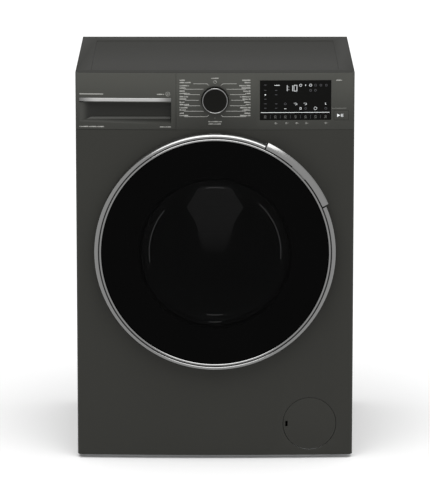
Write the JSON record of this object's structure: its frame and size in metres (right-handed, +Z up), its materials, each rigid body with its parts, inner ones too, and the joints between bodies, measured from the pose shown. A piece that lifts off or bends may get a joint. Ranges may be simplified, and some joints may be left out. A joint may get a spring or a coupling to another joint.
{
  "type": "front load washing machine",
  "caption": "Freestanding front loader: hinged glass door, dial and display panel, detergent drawer, filter hatch, and a sprung tub with belt driven drum inside.",
  "frame": {"origin": "on the floor under the middle of the machine's whole box, feet included", "axes": "+X to the machine's right seen from the front, front faces -Y, +Z up"},
  "size_m": [0.598, 0.572, 0.85],
  "materials": {
    "body_paint": "satin dark grey enamel on steel sheet",
    "panel_plastic": "satin dark grey moulded plastic",
    "worktop": "fine grained dark grey laminate",
    "chrome": "polished plating",
    "black_glass": "glossy black",
    "dial_black": "satin black",
    "bowl_glass": "clear moulded glass",
    "stainless": "brushed",
    "zinc": "zinc coated sheet",
    "steel": "plain machined",
    "cast_alloy": "as cast",
    "black_plastic": "moulded",
    "grey_plastic": "moulded",
    "white_plastic": "moulded",
    "seal_rubber": "moulded grey rubber",
    "black_rubber": "moulded",
    "concrete": "cast",
    "circuit_board": "lacquered board"
  },
  "bodies": {
    "cabinet": {"base_tray": "zinc", "left_side_panel": "body_paint", "right_side_panel": "body_paint", "rear_panel": "zinc", "rear_service_cover": "zinc", "front_panel": "body_paint", "top_panel": "worktop", "control_panel": "panel_plastic", "display_lens": "black_glass", "control_board": "circuit_board", "dispenser_housing": "grey_plastic", "inlet_valve": "white_plastic", "drain_pump": "grey_plastic", "door_lock": "white_plastic", "hinge_plate": "steel", "hinge_pin": "steel", "cord_gland": "black_plastic", "damper_cylinder_left": "black_plastic", "damper_cylinder_right": "black_plastic", "door_seal": "seal_rubber", "sump_hose": "black_rubber", "fill_hose": "black_rubber", "spring_left": "steel", "spring_right": "steel"},
    "tub": {"tub_front": "grey_plastic", "tub_rear": "grey_plastic", "front_counterweight": "concrete", "top_counterweight": "concrete", "heater": "stainless", "bearing_front": "steel", "bearing_rear": "steel", "motor": "cast_alloy", "drive_belt": "black_rubber", "damper_rod_left": "grey_plastic", "damper_rod_right": "grey_plastic"},
    "drum": {"drum_shell": "stainless", "paddle_1": "grey_plastic", "paddle_2": "grey_plastic", "paddle_3": "grey_plastic", "drum_spider": "cast_alloy", "drum_shaft": "steel", "drum_pulley": "cast_alloy"},
    "motor_rotor": {"motor_pulley": "steel"},
    "door": {"door_ring": "chrome", "door_lens": "black_glass", "door_frame": "black_plastic", "door_bowl": "bowl_glass", "hinge_arm": "steel"},
    "handle": {"door_handle": "chrome"},
    "hook": {"latch_hook": "steel"},
    "drawer": {"drawer_front": "panel_plastic", "drawer_tray": "white_plastic"},
    "dial": {"dial": "dial_black"},
    "start_button": {"start_button": "panel_plastic"},
    "filter_cover": {"filter_cover": "body_paint"},
    "pump_filter": {"pump_filter": "grey_plastic"},
    "foot_front_left": {"foot_front_left": "black_rubber"},
    "foot_front_right": {"foot_front_right": "black_rubber"},
    "foot_rear_left": {"foot_rear_left": "black_rubber"},
    "foot_rear_right": {"foot_rear_right": "black_rubber"}
  },
  "joints": [
    {"name": "door_hinge", "type": "hinge", "parent": "cabinet", "child": "door", "pos_m": [-0.249, -0.267, 0.4645], "axis": [0, 0, -1], "range_deg": [0, 150]},
    {"name": "handle_pull", "type": "hinge", "parent": "door", "child": "handle", "pos_m": [0.16646, -0.276, 0.6261], "axis": [0.6965, 0, -0.7175], "range_deg": [0, 10], "stiffness_Nm_per_rad": 1.2, "springref_deg": -11.46},
    {"name": "hook_turn", "type": "hinge", "parent": "door", "child": "hook", "pos_m": [0.15355, -0.262, 0.61356], "axis": [0.6965, 0, -0.7175], "range_deg": [0, 12]},
    {"name": "drawer_slide", "type": "slide", "parent": "cabinet", "child": "drawer", "axis": [0, -1, 0], "range_m": [0, 0.23]},
    {"name": "dial_turn", "type": "hinge", "parent": "cabinet", "child": "dial", "pos_m": [0, -0.26, 0.7918], "axis": [0, 1, 0], "continuous": true},
    {"name": "start_press", "type": "slide", "parent": "cabinet", "child": "start_button", "axis": [0, 1, 0], "range_m": [0, 0.0015], "stiffness_N_per_m": 1500, "springref_m": -0.001},
    {"name": "filter_cover_hinge", "type": "hinge", "parent": "cabinet", "child": "filter_cover", "pos_m": [0.2629, -0.24193, 0.0782], "axis": [0, 0, 1], "range_deg": [0, 100]},
    {"name": "filter_turn", "type": "hinge", "parent": "cabinet", "child": "pump_filter", "pos_m": [0.2054, -0.2, 0.0782], "axis": [0, -1, 0], "range_deg": [0, 90]},
    {"name": "tub_bounce", "type": "slide", "parent": "cabinet", "child": "tub", "axis": [0, 0, 1], "range_m": [-0.01, 0.01], "stiffness_N_per_m": 15000, "springref_m": 0.02027, "deforming": ["spring_left", "spring_right", "fill_hose", "sump_hose", "door_seal"]},
    {"name": "drum_spin", "type": "hinge", "parent": "tub", "child": "drum", "pos_m": [0, -0.02, 0.4645], "axis": [0, 1, 0], "continuous": true},
    {"name": "rotor_spin", "type": "hinge", "parent": "tub", "child": "motor_rotor", "pos_m": [0.02, 0.19, 0.112], "axis": [0, 1, 0], "continuous": true},
    {"name": "foot_front_left_height", "type": "slide", "parent": "cabinet", "child": "foot_front_left", "axis": [0, 0, -1], "range_m": [0, 0.015]},
    {"name": "foot_front_right_height", "type": "slide", "parent": "cabinet", "child": "foot_front_right", "axis": [0, 0, -1], "range_m": [0, 0.015]},
    {"name": "foot_rear_left_height", "type": "slide", "parent": "cabinet", "child": "foot_rear_left", "axis": [0, 0, -1], "range_m": [0, 0.015]},
    {"name": "foot_rear_right_height", "type": "slide", "parent": "cabinet", "child": "foot_rear_right", "axis": [0, 0, -1], "range_m": [0, 0.015]}
  ],
  "couplings": [
    {"joint": "hook_turn", "follows": "handle_pull", "ratio": 1.2},
    {"joint": "rotor_spin", "follows": "drum_spin", "ratio": 13}
  ]
}
